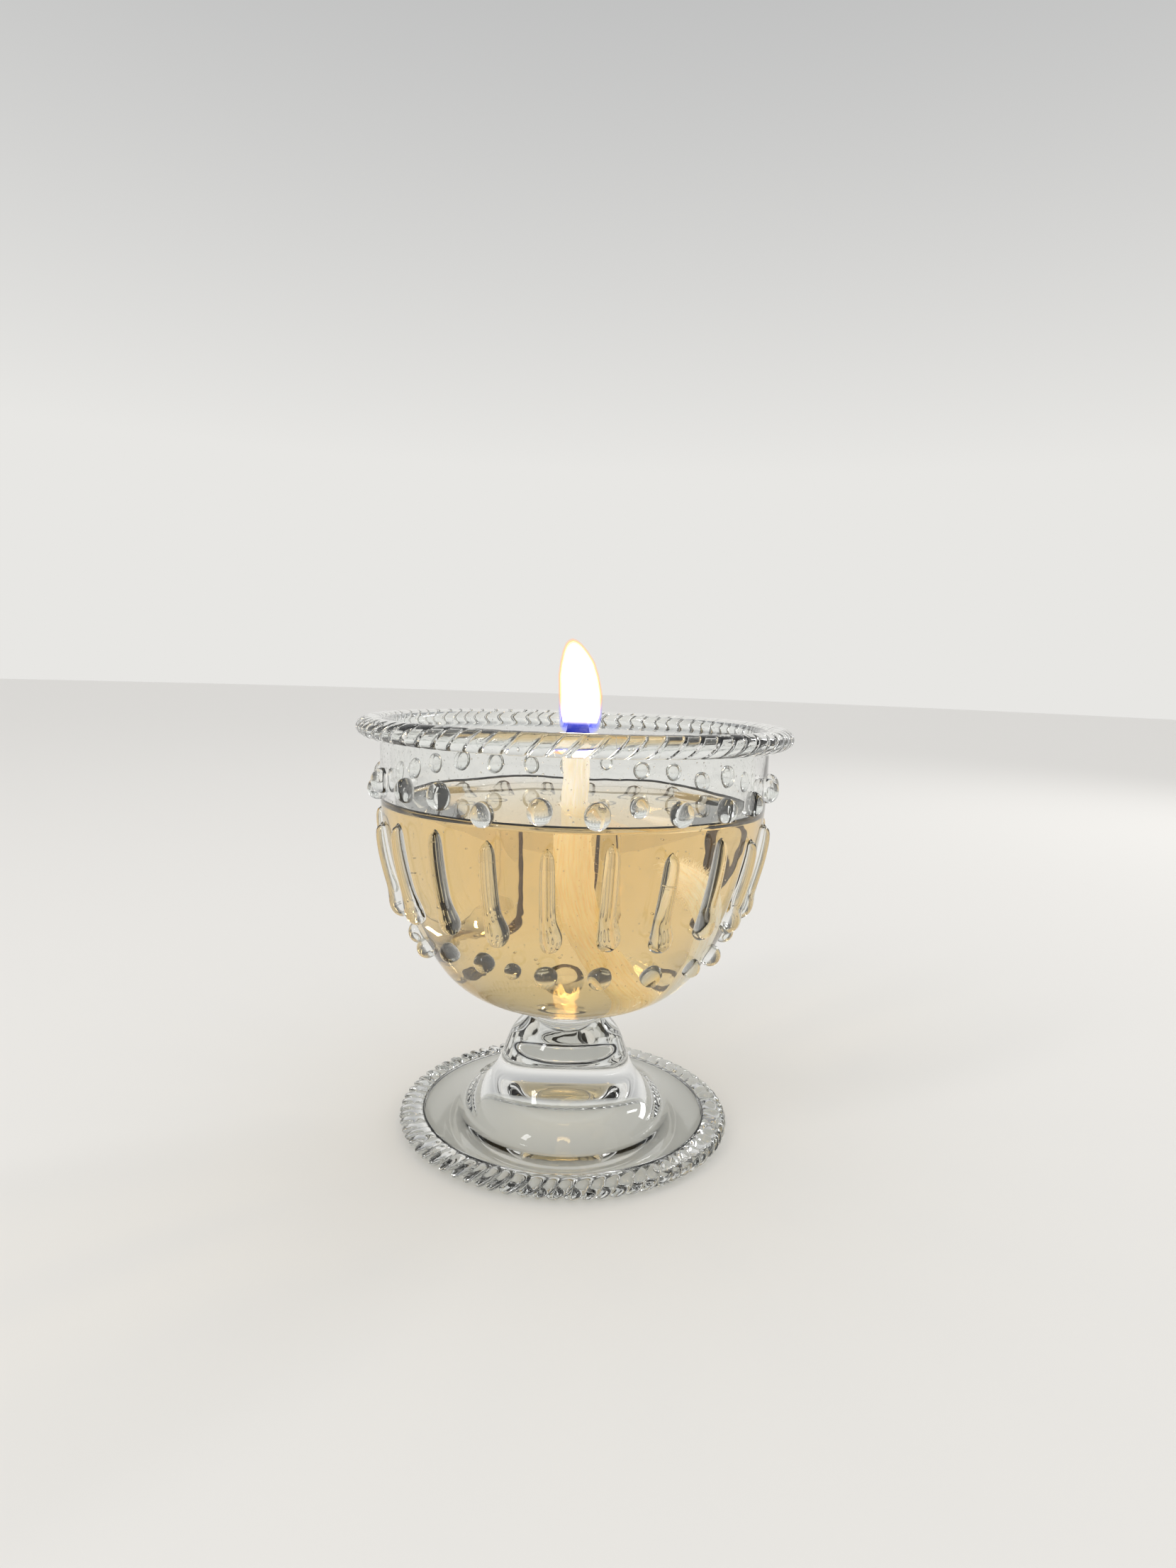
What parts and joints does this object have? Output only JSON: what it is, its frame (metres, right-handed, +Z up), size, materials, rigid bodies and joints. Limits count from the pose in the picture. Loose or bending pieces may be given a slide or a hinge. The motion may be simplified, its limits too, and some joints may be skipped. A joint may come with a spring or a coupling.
{
  "type": "pedestal diya lamp",
  "caption": "Clear glass goblet-shaped diya on a pedestal foot, with rope rim, beads and teardrops, filled with oil and a lit cotton wick.",
  "frame": {"origin": "centre of the foot's circle, on the surface that the lamp stands on", "axes": "+Z up along the axis that the glass is turned about, -Y towards the viewer, +X to the viewer's right"},
  "size_m": [0.076, 0.076, 0.088],
  "materials": {
    "clear_glass": "glossy, worked by hand, with seed bubbles",
    "lamp_oil": "clear amber liquid",
    "cotton_wick": "hand-rolled cotton, soaked with oil",
    "charred_cotton": "matt, burnt",
    "flame_glow": "glowing gas"
  },
  "bodies": {
    "lamp": {"glass_bowl": "clear_glass", "rim_rope": "clear_glass", "neck_beads": "clear_glass", "lower_beads": "clear_glass", "stem_collar": "clear_glass", "stem": "clear_glass", "foot_disc": "clear_glass", "foot_rope": "clear_glass", "teardrop_01": "clear_glass", "teardrop_02": "clear_glass", "teardrop_03": "clear_glass", "teardrop_04": "clear_glass", "teardrop_05": "clear_glass", "teardrop_06": "clear_glass", "teardrop_07": "clear_glass", "teardrop_08": "clear_glass", "teardrop_09": "clear_glass", "teardrop_10": "clear_glass", "teardrop_11": "clear_glass", "teardrop_12": "clear_glass", "teardrop_13": "clear_glass", "teardrop_14": "clear_glass", "teardrop_15": "clear_glass", "teardrop_16": "clear_glass", "teardrop_17": "clear_glass", "teardrop_18": "clear_glass", "teardrop_19": "clear_glass", "teardrop_20": "clear_glass", "teardrop_21": "clear_glass", "teardrop_22": "clear_glass", "oil_fill": "lamp_oil"},
    "wick": {"wick": "cotton_wick", "wick_burnt_tip": "charred_cotton", "flame": "flame_glow"}
  },
  "joints": [
    {"name": "wick_lift", "type": "slide", "parent": "lamp", "child": "wick", "axis": [0, 0, 1], "range_m": [0, 0.07], "deforming": ["oil_fill"]}
  ]
}
